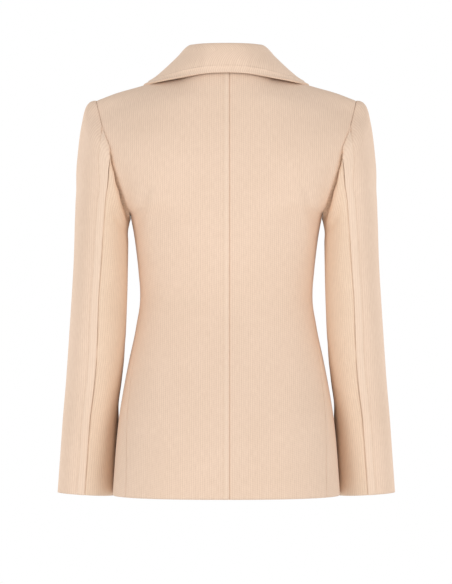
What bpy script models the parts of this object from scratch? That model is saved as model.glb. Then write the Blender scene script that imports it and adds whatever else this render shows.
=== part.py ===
# A short fitted coat, hollow as if filled by a wearer: two backs, two fronts, two-piece sleeves,
# a wide folded collar, two lapels and two buttons.
# Metres, +Z up. The front faces -Y and the wearer's left is +X. The origin lies on the centre plane,
# level with the side neck points and in the depth of the shoulder seams.

import math
from collections import namedtuple

import bmesh
import bpy
from mathutils import Vector

MM = 0.001

# ---- Driving sizes, in millimetres ----
WALL = 2.0                  # thickness of the cloth
SEAM_GAP = 0.3              # space between two pieces where they are sewn
RAISED = 0.8                # height of a pressed seam allowance over the cloth beside it
STEP_RUN = 0.7              # width over which that height is lost
CENTRE_SEAM_X = 4.2         # the centre back seam stands this far to the wearer's right
CENTRE_STRIP = 8.4          # width of the raised allowance beside it, on the left back
SLEEVE_STRIP = 12.0         # width of the raised allowance beside a sleeve's back seam
LAP = 22.0                  # each front passes the centre front by this much
BREAK_Z = -300.0            # where the lapels start to turn back
ROLL_SLOPE = 0.2516         # sideways run of the roll line for each unit of height
LAP_LIFT = 2.5              # the right front stands out over the left one
LAP_LIFT_RUN = (90.0, 26.0)     # distances from the centre front where that starts and is whole
LAPEL_SINK = 7.0            # the left front dips where its own lapel passes under the right front
LAPEL_SINK_RUN = (74.0, 24.0)
CROSSING_Z = (-150.0, -205.0)   # heights between which the two fronts come to cross
BELOW_BREAK_Z = (-365.0, -312.0)    # and between which the lapels' dip fades out below the break
BACK_SEAM_ANGLE = 97.0      # the sleeve's back seam, in degrees round from its outer side
FRONT_SEAM_ANGLE = -105.0   # the sleeve's front seam
CUFF_TILT = 3.3             # degrees by which the sleeve's hem leans, outer side up
TILT_Z = (-465.0, -640.0)   # heights between which the sleeve takes on that lean
BUTTON_RADIUS = 10.5
BUTTON_THICK = 3.4
BUTTON_DISH = 1.0           # depth of the hollow in a button's face
HOLE_RADIUS = 1.1
HOLE_PITCH = 2.6            # each hole's distance from the button's centre
HOLE_SIDES = 8
BUTTON_STEPS = 22           # sides of a button
BUTTON_GAP = 0.8            # space between a button's back and the cloth's highest point under it
BUTTON_REACH = (0.04, 0.24)     # a button's half width, as shares of the front's rows and columns
BUTTON_HEIGHTS = {"button_upper": -338.0, "button_lower": -436.0}

# ---- Body below the armholes: one row for each level ring ----
# back, front and widest are depths; the squares are the powers of the ring's quarters, 2 being an
# ellipse; seam is the angle of the side seam round from the centre back; bust stands out in front.
Ring = namedtuple("Ring", "z half_width back front widest back_square front_square seam bust")
RINGS = [
    Ring(-641.5, 174.3, 128, -127, 2, 2.30, 2.25, 58, 0),
    Ring(-600.0, 172.0, 126, -126, 1, 2.30, 2.25, 59, 0),
    Ring(-560.0, 169.0, 121, -124, 0, 2.30, 2.25, 61, 0),
    Ring(-520.0, 164.8, 113, -121, -2, 2.28, 2.25, 64, 0),
    Ring(-480.0, 158.4, 102, -116, -4, 2.25, 2.25, 67, 0),
    Ring(-434.0, 149.6, 89, -110, -6, 2.25, 2.25, 71, 0),
    Ring(-388.0, 139.8, 79, -104, -9, 2.25, 2.25, 77, 0),
    Ring(-342.0, 133.0, 75, -102, -11, 2.25, 2.30, 83, 0),
    Ring(-300.0, 135.4, 80, -112, -10, 2.30, 2.40, 87, 5),
    Ring(-260.0, 139.8, 90, -130, -8, 2.35, 2.55, 90, 13),
    Ring(-218.0, 146.6, 99, -136, -6, 2.40, 2.60, 93, 11),
]
BUST_X = 86.0               # distance of the bust's peak from the centre front
BUST_SPREAD = 34.0
HEM_TO_CHEST = len(RINGS) - 1   # place of the last ring along the height of a panel

# ---- Armhole: one row for each place round it, angle 0 at the shoulder and 180 under the arm ----
Armhole = namedtuple("Armhole", "angle x y z")
ARMHOLE = [
    Armhole(0, 200.0, 1, -35.0),
    Armhole(24, 193.5, 26, -61.0),
    Armhole(52, 186.5, 45, -86.0),
    Armhole(97, 177.5, 57, -108.0),
    Armhole(117, 168.5, 61, -136.0),
    Armhole(137, 159.5, 55, -167.0),
    Armhole(158, 150.5, 36, -200.0),
    Armhole(180, 146.6, -6, -218.0),
    Armhole(202, 150.0, -40, -204.0),
    Armhole(222, 156.0, -57, -178.0),
    Armhole(243, 162.0, -63, -146.0),
    Armhole(270, 172.0, -55, -104.0),
    Armhole(315, 187.0, -32, -62.0),
]

# ---- Upper back: rows from the centre back to the armhole ----
# reach and edge_x, edge_y, edge_z are the handles at the two ends of each row's curve.
YokeRow = namedtuple("YokeRow", "angle back z reach edge_x edge_y edge_z")
YOKE = [
    YokeRow(158, 100.5, -190, 95, -10, 47, 2),
    YokeRow(137, 100.5, -158, 92, -26, 39, 4),
    YokeRow(117, 97.5, -123, 86, -35, 34, 8),
    YokeRow(97, 92.0, -90, 80, -44, 27, 14),
    YokeRow(52, 84.5, -58, 72, -50, 22, 18),
    YokeRow(24, 75.0, -24, 60, -56, 18, 20),
]
NECK_SHARE = 0.40           # share of the back's columns that end on the neckline
BACK_TOP = len(RINGS) + len(YOKE)   # place of the neckline and shoulder along the back's height

# ---- Chest: rows from the armhole to the roll line and the neck ----
ChestRow = namedtuple("ChestRow", "angle x y z roll_x roll_y roll_z edge_x edge_y edge_z")
CHEST = [
    ChestRow(202, 6.0, -131, -190, 60, -22, -4, 6, -70, -2),
    ChestRow(222, 15.5, -121, -151, 56, -18, -4, -4, -52, 2),
    ChestRow(243, 26.0, -108, -109, 50, -12, -6, -22, -38, 6),
    ChestRow(270, 36.0, -90, -69, 44, -2, -8, -38, -26, 14),
    ChestRow(315, 49.0, -60, -31, 40, 8, -6, -46, -14, 18),
]

FRONT_TOP = len(RINGS) + len(CHEST)     # place of the shoulder along the front's height

# ---- Shoulder seam, from the side neck point to the shoulder tip ----
Shoulder = namedtuple("Shoulder", "x y z")
SHOULDER = [
    Shoulder(71.0, 0, 7.0),
    Shoulder(100.0, 0, -3.2),
    Shoulder(136.0, 0, -13.9),
    Shoulder(169.0, 0.5, -23.2),
    Shoulder(200.0, 1, -35.0),
]
NECK_BACK_Y = 60.0          # centre back of the neckline
NECK_BACK_Z = 18.0

# ---- Sleeve below the armhole: one row for each ring ----
Tube = namedtuple("Tube", "z x half_width y half_depth square")
TUBE = [
    Tube(-234.0, 192.4, 41.9, 2, 60, 2.2),
    Tube(-280.0, 193.4, 42.2, 2, 57, 2.2),
    Tube(-342.0, 196.0, 43.2, 0, 54, 2.2),
    Tube(-403.0, 199.4, 44.0, -4, 52, 2.2),
    Tube(-465.0, 204.6, 43.4, -11, 49, 2.2),
    Tube(-527.0, 212.0, 41.6, -19, 46, 2.2),
    Tube(-585.0, 216.6, 41.4, -27, 44, 2.2),
    Tube(-641.8, 221.0, 41.4, -35, 43, 2.2),
]
CROWN_REACH = 17.5          # how far the sleeve stands out from the armhole at the shoulder
BACK_REACH = 8.0            # half way down
UNDER_REACH = 3.0           # under the arm
CROWN_DROP = 27.0           # how far the turn of the sleeve head comes down
CROWN_FALL = 40.0           # how much steeper the cloth falls there
HEAD_SHARE = 0.36           # share of the cap's length taken by that turn

# ---- Collar: rows from the centre back round to the front end ----
# share is the place along the neckline, fold the crown of the fold, edge the free edge of the leaf,
# roll the half width of the fold and swell the height that the leaf bows outwards.
CollarRow = namedtuple("CollarRow", "share fold_x fold_y fold_z edge_x edge_y edge_z roll swell")
COLLAR = [
    CollarRow(0.00, 0, 61.5, 48.0, 0, 75, 3.8, 4.5, 2),
    CollarRow(0.18, 29, 55.0, 48.0, 44, 69, 2.0, 4.5, 2),
    CollarRow(0.36, 51, 34.0, 48.0, 85, 48, -3.0, 4.5, 2),
    CollarRow(0.54, 60, 4.0, 47.0, 117, 17, -8.0, 4.5, 1),
    CollarRow(0.68, 60, -21.0, 36.0, 128, -14, -9.5, 4.5, 0),
    CollarRow(0.84, 54, -51.0, 5.0, 134, -49, -41.0, 4.0, 3),
    CollarRow(1.00, 42.9, -80.6, -45.7, 138.5, -75.2, -88.5, 3.5, 10),
]
BASE_TURN = 1.8             # extra room where the stand turns up from the panel beside it
SIDE_SHARE = 0.56           # place along the neckline of the side neck point
GORGE_V = 14.5              # place on the front's edge where the collar ends and the lapel starts
NOTCH_START = 0.42          # share of the leaf's width that is sewn to the lapel
NOTCH_RETREAT = 0.16        # how far the collar's corner is drawn back
COLLAR_W = (0, 0.12, 0.22, 0.28, 0.33, 0.37, 0.42, 0.5, 0.6, 0.73, 0.87, 1.0)
STAND_SHARE = 0.33          # share of the collar's width below the fold

# ---- Lapel: it lies on the front between the gorge and the break ----
LAPEL_U = 0.72              # width at the top, as a share of the front's row
LAPEL_POINT_V = 13.95       # height of its point on the front
LAPEL_BREAK_V = 8.06        # height of the break
LAPEL_END = 0.05            # width left at the break
LAPEL_BELLY = 0.05          # outward bow of its long edge
LAPEL_RISE = 4.2            # height of its middle layer over the front, at the roll
LAPEL_REST = 2.2            # and at its outer edge
LAPEL_DROP = 0.03           # its top lies this far below the collar's end, along the front's edge

# The lapel's turn round the front's edge: how far past the edge, and how high over the front.
Turn = namedtuple("Turn", "past height")
LAPEL_TURN = [
    Turn(1.4, -1.0),
    Turn(2.2, 0.9),
    Turn(1.6, 2.7),
    Turn(-0.8, LAPEL_RISE + 0.4),
]
LAPEL_W = (0.16, 0.3, 0.46, 0.64, 0.82, 1.0)

# ---- A button's outline, from the middle of its back round to the middle of its face ----
Outline = namedtuple("Outline", "radius height")
BUTTON_OUTLINE = [
    Outline(0, 0),
    Outline(BUTTON_RADIUS - 2.2, 0),
    Outline(BUTTON_RADIUS, BUTTON_THICK * 0.45),
    Outline(BUTTON_RADIUS - 0.3, BUTTON_THICK * 0.8),
    Outline(BUTTON_RADIUS - 1.4, BUTTON_THICK),
    Outline(BUTTON_RADIUS - 2.8, BUTTON_THICK - 0.3),
    Outline(BUTTON_RADIUS - 4.2, BUTTON_THICK - BUTTON_DISH),
    Outline(0, BUTTON_THICK - BUTTON_DISH),
]


# ---- Curves ----

def spline(points, place, start=None, end=None):
    """Point at a place (0 at the first point, 1 at the second and so on) of a smooth curve."""
    last = len(points) - 1
    index = min(max(int(place), 0), last - 1)
    here = place - index
    chord = (points[index + 1] - points[index]).length

    def slope(i):
        if i == 0:
            return start if start else (points[1] - points[0]).normalized()
        if i == last:
            return end if end else (points[last] - points[last - 1]).normalized()
        before = points[i] - points[i - 1]
        after = points[i + 1] - points[i]
        a = max(before.length, 1e-6)
        b = max(after.length, 1e-6)
        return (before * (b / a) + after * (a / b)) / (a + b)

    first = slope(index) * chord
    second = slope(index + 1) * chord
    h2 = here * here
    h3 = h2 * here
    return (points[index] * (2 * h3 - 3 * h2 + 1) + first * (h3 - 2 * h2 + here)
            + points[index + 1] * (3 * h2 - 2 * h3) + second * (h3 - h2))


def bezier(a, b, c, d, t):
    s = 1 - t
    return a * s ** 3 + b * 3 * s * s * t + c * 3 * s * t * t + d * t ** 3


def smooth_step(low, high, value):
    t = min(max((value - low) / (high - low), 0.0), 1.0)
    return t * t * (3 - 2 * t)


def mirrored(point, side):
    return Vector((point.x * side, point.y, point.z))


# ---- Body form ----

def ring_point(ring, angle):
    """Point of a level ring, by its angle in degrees from the centre back."""
    turn = math.radians(angle)
    across = math.sin(turn)
    along = math.cos(turn)
    power = ring.back_square if along > 0 else ring.front_square
    depth = ring.back - ring.widest if along > 0 else ring.widest - ring.front
    size = (abs(across) ** power + abs(along) ** power) ** (-1 / power)
    x = ring.half_width * size * across
    y = ring.widest + depth * size * along
    if along < 0:
        y -= ring.bust * math.exp(-((abs(x) - BUST_X) / BUST_SPREAD) ** 2)
    return Vector((x, y, ring.z))


def front_end_angle(ring):
    """Angle at which a ring reaches the front edge, or the roll line above the break."""
    x = -LAP + max(ring.z - BREAK_Z, 0) * ROLL_SLOPE
    return 180 + math.degrees(math.atan2(-x / ring.half_width, 1))


def armhole_point(angle):
    rows = ARMHOLE + [ARMHOLE[0]._replace(angle=360)]
    index = max(i for i in range(len(rows) - 1) if rows[i].angle <= angle)
    share = (angle - rows[index].angle) / (rows[index + 1].angle - rows[index].angle)
    points = [Vector((row.x, row.y, row.z)) for row in rows]
    along = Vector((0, 1, -0.15))
    return spline(points, index + share, start=along, end=along)


def shoulder_point(share):
    points = [Vector(row) for row in SHOULDER]
    return spline(points, share * (len(points) - 1))


def back_neck_point(share):
    """Back neckline, from the centre back to the side neck point."""
    turn = share * math.pi / 2
    side = SHOULDER[0]
    z = side.z + (NECK_BACK_Z - side.z) * math.cos(turn) ** 2
    return Vector((side.x * math.sin(turn), NECK_BACK_Y * math.cos(turn), z))


def back_row(index, u):
    """One key row of the back, from the centre (u 0) to the side seam or armhole (u 1)."""
    if index < len(RINGS):
        return ring_point(RINGS[index], RINGS[index].seam * u)
    index -= len(RINGS)
    if index < len(YOKE):
        row = YOKE[index]
        start = Vector((0, row.back, row.z))
        end = armhole_point(row.angle)
        handle = Vector((row.edge_x, row.edge_y, row.edge_z))
        return bezier(start, start + Vector((row.reach, 2, 0)), end + handle, end, u)
    if u < NECK_SHARE:
        return back_neck_point(u / NECK_SHARE)
    return shoulder_point((u - NECK_SHARE) / (1 - NECK_SHARE))


def front_row(index, u):
    """One key row of the front, from the side seam or armhole (u 0) to the front edge (u 1)."""
    if index < len(RINGS):
        ring = RINGS[index]
        return ring_point(ring, ring.seam + (front_end_angle(ring) - ring.seam) * u)
    index -= len(RINGS)
    if index < len(CHEST):
        row = CHEST[index]
        end = Vector((row.x, row.y, row.z))
        start = armhole_point(row.angle)
        edge = Vector((row.edge_x, row.edge_y, row.edge_z))
        roll = Vector((row.roll_x, row.roll_y, row.roll_z))
        return bezier(start, start + edge, end + roll, end, u)
    return shoulder_point(1 - u)


def back_point(u, v):
    if u < 0:
        return mirrored(back_point(-u, v), -1)
    keys = [back_row(i, u) for i in range(BACK_TOP + 1)]
    side = min(u / NECK_SHARE, 1)
    over = Vector((0, -0.35 - 0.65 * side, 0.94 * (1 - side)))
    return spline(keys, v, start=Vector((0, 0, 1)), end=over.normalized())


def front_point(u, v):
    keys = [front_row(i, u) for i in range(FRONT_TOP + 1)]
    return spline(keys, v, start=Vector((0, 0, 1)), end=Vector((0, 1, 0)))


def lap_shift(point, side):
    """Outward shift of a front where the two fronts cross: the right one lies over the left one."""
    own = point.x                                   # the panel's own side is at positive x
    below_crossing = smooth_step(*CROSSING_Z, point.z)
    if side < 0:
        return LAP_LIFT * below_crossing * smooth_step(*LAP_LIFT_RUN, own)
    at_lapels = below_crossing * smooth_step(*BELOW_BREAK_Z, point.z)
    return -LAPEL_SINK * at_lapels * smooth_step(*LAPEL_SINK_RUN, own)


def front_normal(u, v):
    return surface_normal(front_point, u, v, (0, 1), (0, FRONT_TOP), True)


def front_surface(u, v, side, height):
    """Point at a height over one front's outer side."""
    point = front_point(u, v)
    return point + front_normal(u, v) * (lap_shift(point, side) + height)


# ---- Collar form ----

def neck_base(share, fold):
    """Middle of the collar's wall where it meets the neck seam."""
    if share <= SIDE_SHARE:
        u = NECK_SHARE * share / SIDE_SHARE
        v = BACK_TOP
        edge = back_point(u, v)
        normal = surface_normal(back_point, u, v, (-1, 1), (0, v), True)
        seam = back_point(min(u + 0.01, NECK_SHARE), v) - back_point(min(u, NECK_SHARE - 0.01), v)
    else:
        v = FRONT_TOP + (GORGE_V + 0.02 - FRONT_TOP) * (share - SIDE_SHARE) / (1 - SIDE_SHARE)
        edge = front_point(1, v)
        normal = front_normal(1, v)
        seam = front_point(1, v - 0.01) - edge
    away = seam.cross(normal).normalized()
    bend = away.cross((fold - edge).normalized()).length
    return edge - normal * WALL / 2 + away * (SEAM_GAP + BASE_TURN * bend)


def collar_point(share, w):
    """Middle of the collar's wall; w runs from the neck seam over the fold to the free edge."""
    shares = [row.share for row in COLLAR]
    index = max(i for i in range(len(shares) - 1) if shares[i] <= share)
    place = index + (share - shares[index]) / (shares[index + 1] - shares[index])
    folds = [Vector((row.fold_x, row.fold_y, row.fold_z)) for row in COLLAR]
    edges = [Vector((row.edge_x, row.edge_y, row.edge_z)) for row in COLLAR]
    extra = [Vector((row.roll, row.swell, 0)) for row in COLLAR]
    fold = spline(folds, place, start=Vector((1, 0, 0)))
    edge = spline(edges, place, start=Vector((1, 0, 0)))
    roll, swell, _ = spline(extra, place)
    base = neck_base(share, fold)
    rise = (fold - base).normalized()
    out = edge - fold
    out = (out - rise * out.dot(rise)).normalized()
    if w < STAND_SHARE:
        s = w / STAND_SHARE
        return bezier(base, base.lerp(fold, 0.35), fold - out * roll, fold, s)
    s = (w - STAND_SHARE) / (1 - STAND_SHARE)
    turn = fold + out * roll
    along = (edge - turn).normalized()
    bow = (rise - along * rise.dot(along)).normalized() * swell
    return bezier(fold, turn, turn.lerp(edge, 0.5) + bow, edge, s)


def collar_surface(share, w):
    if share < 0:
        return mirrored(collar_surface(-share, w), -1)
    leaf = (w - STAND_SHARE) / (1 - STAND_SHARE)
    past = max(leaf - NOTCH_START, 0) / (1 - NOTCH_START)
    return collar_point(share * (1 - NOTCH_RETREAT * past), w)


# ---- Sleeve form ----

def tube_point(row, angle):
    turn = math.radians(angle)
    out = math.cos(turn)
    back = math.sin(turn)
    size = (abs(out) ** row.square + abs(back) ** row.square) ** (-1 / row.square)
    tilt = math.tan(math.radians(CUFF_TILT)) * smooth_step(*TILT_Z, row.z)
    x = row.half_width * size * out
    return Vector((row.x + x, row.y + row.half_depth * size * back, row.z + x * tilt))


def cap_point(angle, t):
    """Sleeve cap: out from the armhole seam, over a rounded head and down to the first tube ring."""
    seam = armhole_point(angle % 360)
    foot = tube_point(TUBE[0], angle)
    turn = math.radians(angle)
    high = (1 + math.cos(turn)) / 2                 # 1 at the shoulder, 0 under the arm
    reach = UNDER_REACH + (BACK_REACH - UNDER_REACH) * min(high * 2, 1)
    reach += (CROWN_REACH - BACK_REACH) * max(high * 2 - 1, 0)
    sideways = 0.75 * math.sin(turn) * (1 - high * 0.4)
    out = Vector((0.35 + 0.65 * high, sideways, 0.05 * high - 0.35 * (1 - high)))
    corner = seam + out.normalized() * reach
    down = foot - corner
    down.z -= CROWN_FALL * high
    drop = min(CROWN_DROP, (foot - corner).length * 0.4)
    knee = corner + down.normalized() * drop
    if t < HEAD_SHARE:
        s = t / HEAD_SHARE
        return seam * (1 - s) ** 2 + corner * 2 * s * (1 - s) + knee * s * s
    s = (t - HEAD_SHARE) / (1 - HEAD_SHARE)
    length = (foot - knee).length / 3
    return bezier(knee, knee + down.normalized() * length, foot + Vector((-0.02, 0, 1)) * length, foot, s)


def sleeve_point(angle, v):
    """v runs from 0 at the armhole to 1 at the first tube ring and on to the cuff."""
    if v < 1:
        return cap_point(angle, max(v, 0))
    keys = [tube_point(row, angle) for row in TUBE]
    return spline(keys, v - 1, start=Vector((0.02, 0, -1)))


# ---- Walls ----

def surface_normal(point, u, v, u_range, v_range, flip):
    """Unit normal of a surface function by small steps that stay inside its range."""
    du = (u_range[1] - u_range[0]) * 0.004
    dv = (v_range[1] - v_range[0]) * 0.002
    u0 = max(u - du, u_range[0])
    u1 = min(u + du, u_range[1])
    v0 = max(v - dv, v_range[0])
    v1 = min(v + dv, v_range[1])
    across = point(u1, v) - point(u0, v)
    along = point(u, v1) - point(u, v0)
    normal = across.cross(along).normalized()
    return -normal if flip else normal


def pull_in(grid, distance):
    """Moves a grid's border inwards along its own rows and columns."""
    rows = len(grid)
    columns = len(grid[0])
    moved = [[point.copy() for point in row] for row in grid]
    for i in range(rows):
        for j in range(columns):
            shift = Vector((0, 0, 0))
            if i == 0:
                shift += (grid[1][j] - grid[0][j]).normalized() * distance[0]
            if i == rows - 1:
                shift += (grid[i - 1][j] - grid[i][j]).normalized() * distance[1]
            if j == 0:
                shift += (grid[i][1] - grid[i][0]).normalized() * distance[2]
            if j == columns - 1:
                shift += (grid[i][j - 1] - grid[i][j]).normalized() * distance[3]
            moved[i][j] += shift
    return moved


def wall_object(name, outer, inner, material, side=1):
    """Closed wall between two grids of points, given in millimetres, mirrored when side is -1."""
    mesh = bmesh.new()
    rows = len(outer)
    columns = len(outer[0])
    faces = []
    sheets = []
    for grid in (outer, inner):
        sheets.append([[mesh.verts.new(mirrored(point, side) * MM) for point in row] for row in grid])
    for i in range(rows - 1):
        for j in range(columns - 1):
            corners = [(i, j), (i, j + 1), (i + 1, j + 1), (i + 1, j)]
            faces.append([sheets[0][a][b] for a, b in corners])
            faces.append([sheets[1][a][b] for a, b in reversed(corners)])
    rim = [(0, j) for j in range(columns)] + [(i, columns - 1) for i in range(1, rows)]
    rim += [(rows - 1, j) for j in range(columns - 2, -1, -1)] + [(i, 0) for i in range(rows - 2, 0, -1)]
    for k, (a, b) in enumerate(rim):
        c, d = rim[(k + 1) % len(rim)]
        faces.append([sheets[0][c][d], sheets[0][a][b], sheets[1][a][b], sheets[1][c][d]])
    for face in faces:
        mesh.faces.new(face)
    bmesh.ops.triangulate(mesh, faces=mesh.faces[:], quad_method="SHORT_EDGE")
    bmesh.ops.recalc_face_normals(mesh, faces=mesh.faces[:])
    return finish_object(name, mesh, material)


def finish_object(name, mesh, material, sharp=40.0):
    data = bpy.data.meshes.new(name)
    mesh.to_mesh(data)
    mesh.free()
    data.shade_smooth()
    data.set_sharp_from_angle(angle=math.radians(sharp))
    data.materials.append(material)
    made = bpy.data.objects.new(name, data)
    bpy.context.scene.collection.objects.link(made)
    return made


def simple_material(name, colour, roughness):
    material = bpy.data.materials.new(name)
    material.use_nodes = True
    shader = material.node_tree.nodes["Principled BSDF"]
    shader.inputs["Base Color"].default_value = (*colour, 1)
    shader.inputs["Roughness"].default_value = roughness
    shader.inputs["Metallic"].default_value = 0
    return material


def spread(start, end, steps):
    return [start + (end - start) * i / steps for i in range(steps + 1)]


def wall_from(name, point, columns, rows, u_range, v_range, flip, raised, gaps, material, side):
    """Wall of the cloth's thickness under a surface; raised gives extra height by column."""
    points = [[point(u, v) for u in columns(v)] for v in rows]
    normals = [[surface_normal(point, u, v, u_range, v_range, flip) for u in columns(v)] for v in rows]
    points = pull_in(points, gaps)
    outer = [[p + n * raised(j) for j, (p, n) in enumerate(zip(*pair))] for pair in zip(points, normals)]
    inner = [[p - n * WALL for p, n in zip(*pair)] for pair in zip(points, normals)]
    return wall_object(name, outer, inner, material, side)


# ---- Pieces ----

def panel_heights(top, steps):
    """A row of the wall at every ring, then evenly spaced rows up to the top."""
    return spread(0, HEM_TO_CHEST, HEM_TO_CHEST) + spread(HEM_TO_CHEST, top, steps)[1:]


def centre_share(x, v):
    """Column value at which the back reaches a distance from the centre."""
    step = 0.01
    return x * step / back_point(step, v).x


def make_back(side, material):
    def columns(v):
        seam = centre_share(CENTRE_SEAM_X, v)
        if side > 0:
            strip = centre_share(CENTRE_STRIP - CENTRE_SEAM_X, v)
            foot = centre_share(CENTRE_STRIP - CENTRE_SEAM_X + STEP_RUN, v)
            first = [-seam, strip, foot]
        else:
            first = [seam]
        return first + spread(first[-1], NECK_SHARE, 5)[1:] + spread(NECK_SHARE, 1, 8)[1:]

    def raised(column):
        return RAISED if side > 0 and column < 2 else 0

    half = SEAM_GAP / 2
    name = "back_left" if side > 0 else "back_right"
    wall_from(name, back_point, columns, panel_heights(BACK_TOP, 11), (-1, 1), (0, BACK_TOP), True, raised,
              (0, half, half, half), material, side)


def make_front(side, material):
    name = "front_left" if side > 0 else "front_right"
    half = SEAM_GAP / 2
    columns = spread(0, 1, 14)
    heights = panel_heights(FRONT_TOP, 10)
    points = [[front_point(u, v) for u in columns] for v in heights]
    normals = [[front_normal(u, v) for u in columns] for v in heights]
    points = pull_in(points, (0, half, half, 0))
    outer = [[p + n * lap_shift(p, side) for p, n in zip(*pair)] for pair in zip(points, normals)]
    inner = [[p + n * (lap_shift(p, side) - WALL) for p, n in zip(*pair)] for pair in zip(points, normals)]
    wall_object(name, outer, inner, material, side)


def make_sleeve(side, material):
    half = SEAM_GAP / 2
    ending = "left" if side > 0 else "right"
    rows = spread(0, HEAD_SHARE, 4) + spread(HEAD_SHARE, 1, 5)[1:] + spread(1, len(TUBE), 11)[1:]
    v_range = (0, len(TUBE))

    def strip_share(width, v):
        seam = sleeve_point(BACK_SEAM_ANGLE, v)
        near = sleeve_point(BACK_SEAM_ANGLE - 2, v)
        return BACK_SEAM_ANGLE - 2 * width / (near - seam).length

    def top_columns(v):
        first = [BACK_SEAM_ANGLE, strip_share(SLEEVE_STRIP, v), strip_share(SLEEVE_STRIP + STEP_RUN, v)]
        return first + spread(first[-1], FRONT_SEAM_ANGLE, 11)[1:]

    def under_columns(v):
        return spread(360 + FRONT_SEAM_ANGLE, BACK_SEAM_ANGLE, 9)

    def raised(column):
        return RAISED if column < 2 else 0

    gaps = (SEAM_GAP, 0, half, half)
    angles = (FRONT_SEAM_ANGLE, BACK_SEAM_ANGLE)
    wall_from("sleeve_top_" + ending, sleeve_point, top_columns, rows, angles, v_range, True, raised,
              gaps, material, side)
    angles = (BACK_SEAM_ANGLE, 360 + FRONT_SEAM_ANGLE)
    wall_from("sleeve_under_" + ending, sleeve_point, under_columns, rows, angles, v_range, True, lambda j: 0,
              gaps, material, side)


def make_collar(material):
    shares = spread(-1, 1, 30)
    points = [[collar_surface(share, w) for w in COLLAR_W] for share in shares]
    normals = [[surface_normal(collar_surface, share, w, (-1, 1), (0, 1), False) for w in COLLAR_W]
               for share in shares]
    outer = [[p + n * WALL / 2 for p, n in zip(*pair)] for pair in zip(points, normals)]
    inner = [[p - n * WALL / 2 for p, n in zip(*pair)] for pair in zip(points, normals)]
    wall_object("collar", outer, inner, material)


def lapel_place(down, w):
    """Place on the front under a point of the lapel; down runs from the gorge to the break."""
    top = GORGE_V - LAPEL_DROP + (LAPEL_POINT_V - GORGE_V) * w
    width = LAPEL_U * (1 - down) + LAPEL_BELLY * math.sin(math.pi * down) + LAPEL_END * down
    return 1 - width * w, top * (1 - down) + LAPEL_BREAK_V * down


def make_lapel(side, material):
    """The lapel starts beside the front's edge, turns over it and lies on its outer side."""
    points = []
    for down in spread(0, 1, 12):
        row = []
        u, v = lapel_place(down, 0)
        edge = front_point(1, v)
        away = (edge - front_point(0.99, v)).normalized()
        normal = front_normal(1, v)
        shift = lap_shift(edge, side)
        for turn in LAPEL_TURN:
            row.append(edge + away * turn.past + normal * (turn.height + shift))
        for w in LAPEL_W:
            u, v = lapel_place(down, w)
            row.append(front_surface(u, v, side, LAPEL_RISE + (LAPEL_REST - LAPEL_RISE) * w))
        points.append(row)
    outer = []
    inner = []
    for i, row in enumerate(points):
        up = points[max(i - 1, 0)]
        low = points[min(i + 1, len(points) - 1)]
        outer.append([])
        inner.append([])
        for j, point in enumerate(row):
            across = row[min(j + 1, len(row) - 1)] - row[max(j - 1, 0)]
            normal = across.cross(low[j] - up[j]).normalized()
            outer[i].append(point - normal * WALL / 2)
            inner[i].append(point + normal * WALL / 2)
    wall_object("lapel_left" if side > 0 else "lapel_right", outer, inner, material, side)


def centre_front(z):
    """Place on the front, outer side, at the centre line and a height."""
    below = 0.0
    above = float(HEM_TO_CHEST)
    for _ in range(24):
        v = (below + above) / 2
        own_side = 0.5
        far_side = 1.0
        for _ in range(24):
            u = (own_side + far_side) / 2
            if front_point(u, v).x > 0:
                own_side = u
            else:
                far_side = u
        if front_point(u, v).z < z:
            below = v
        else:
            above = v
    return u, v


def make_button(name, height, material):
    u, v = centre_front(height)
    normal = mirrored(front_normal(u, v), -1)
    seat = mirrored(front_surface(u, v, -1, 0), -1)
    highest = 0.0
    for k in range(12):
        turn = k * math.tau / 12
        across = BUTTON_REACH[0] * math.cos(turn)
        up = BUTTON_REACH[1] * math.sin(turn)
        beside = front_surface(u + across, v + up, -1, 0)
        highest = max(highest, (mirrored(beside, -1) - seat).dot(normal))
    seat += normal * (highest + BUTTON_GAP)
    mesh = bmesh.new()
    line = [mesh.verts.new((row.radius * MM, 0, row.height * MM)) for row in BUTTON_OUTLINE]
    edges = [mesh.edges.new(pair) for pair in zip(line, line[1:])]
    bmesh.ops.spin(mesh, geom=line + edges, axis=(0, 0, 1), cent=(0, 0, 0), angle=math.tau,
                   steps=BUTTON_STEPS, use_merge=True)
    bmesh.ops.remove_doubles(mesh, verts=mesh.verts[:], dist=1e-6)
    bmesh.ops.recalc_face_normals(mesh, faces=mesh.faces[:])
    button = finish_object(name, mesh, material, 50)
    cutter_mesh = bmesh.new()
    for k in range(4):
        quarter = math.pi / 4 + k * math.pi / 2
        made = bmesh.ops.create_cone(cutter_mesh, cap_ends=True, segments=HOLE_SIDES,
                                     depth=4 * BUTTON_THICK * MM, radius1=HOLE_RADIUS * MM,
                                     radius2=HOLE_RADIUS * MM)
        middle = Vector((math.cos(quarter), math.sin(quarter), 0)) * HOLE_PITCH * MM
        bmesh.ops.translate(cutter_mesh, verts=made["verts"], vec=middle)
    cutter = finish_object(name + "_holes", cutter_mesh, material)
    cutter.hide_render = True
    cutter.display_type = "WIRE"
    for item in (button, cutter):
        item.matrix_world = normal.to_track_quat("Z", "Y").to_matrix().to_4x4()
        item.location = seat * MM
    cut = button.modifiers.new("holes", "BOOLEAN")
    cut.object = cutter
    cut.operation = "DIFFERENCE"


def clear_scene():
    for item in list(bpy.data.objects):
        bpy.data.objects.remove(item, do_unlink=True)


def main():
    clear_scene()
    cloth = simple_material("coat_cloth", (0.80, 0.63, 0.48), 0.9)
    horn = simple_material("button_horn", (0.55, 0.40, 0.28), 0.4)
    for side in (1, -1):
        make_back(side, cloth)
        make_front(side, cloth)
        make_sleeve(side, cloth)
        make_lapel(side, cloth)
    make_collar(cloth)
    for name, height in BUTTON_HEIGHTS.items():
        make_button(name, height, horn)


main()
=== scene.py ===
import math
from collections import namedtuple

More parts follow.
